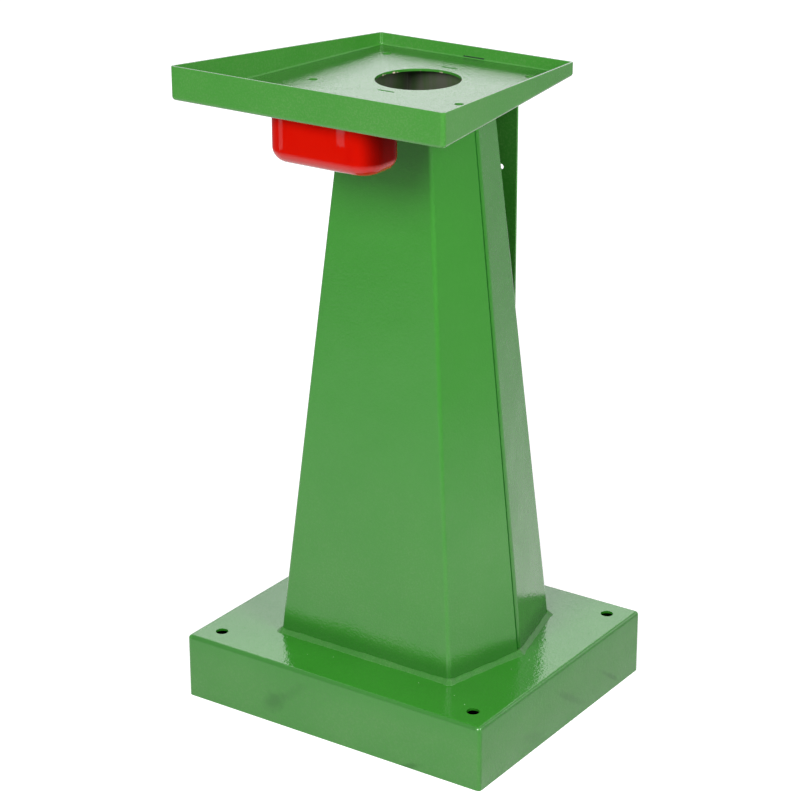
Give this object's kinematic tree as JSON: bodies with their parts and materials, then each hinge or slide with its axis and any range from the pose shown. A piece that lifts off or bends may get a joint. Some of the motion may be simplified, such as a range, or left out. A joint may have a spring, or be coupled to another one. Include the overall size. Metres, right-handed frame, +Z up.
{
  "type": "bench grinder stand",
  "caption": "Welded sheet-steel bench grinder pedestal: folded base with anchor holes, tapering column, rimmed tray with bolt holes, and a pull-out water cup.",
  "frame": {"origin": "on the ground, under the middle of the stand's overall width and depth", "axes": "+Z up; -Y towards the operator, the side of the tall rim and the water cup; +X to the right seen from the operator's side facing the stand"},
  "size_m": [0.444, 0.418, 0.838],
  "materials": {
    "green_paint": "glossy powder coat with a fine orange peel",
    "red_enamel": "smooth glossy enamel"
  },
  "bodies": {
    "stand": {"base_pan": "green_paint", "column_front_shell": "green_paint", "column_rear_shell": "green_paint", "tray_pan": "green_paint", "rear_plate": "green_paint", "cup_rail_left": "green_paint", "cup_rail_right": "green_paint", "base_corner_weld_front_left": "green_paint", "base_corner_weld_front_right": "green_paint", "base_corner_weld_rear_left": "green_paint", "base_corner_weld_rear_right": "green_paint", "column_seam_weld_left": "green_paint", "column_seam_weld_right": "green_paint", "column_foot_weld": "green_paint", "column_head_welds": "green_paint", "tray_corner_weld_front_left": "green_paint", "tray_corner_weld_front_right": "green_paint", "tray_corner_weld_rear_left": "green_paint", "tray_corner_weld_rear_right": "green_paint", "rear_plate_head_welds": "green_paint", "rear_plate_foot_welds": "green_paint", "cup_rail_welds": "green_paint"},
    "water_cup": {"water_cup": "red_enamel"}
  },
  "joints": [
    {"name": "water_cup_slide", "type": "slide", "parent": "stand", "child": "water_cup", "axis": [0, -1, 0], "range_m": [0, 0.11]}
  ]
}
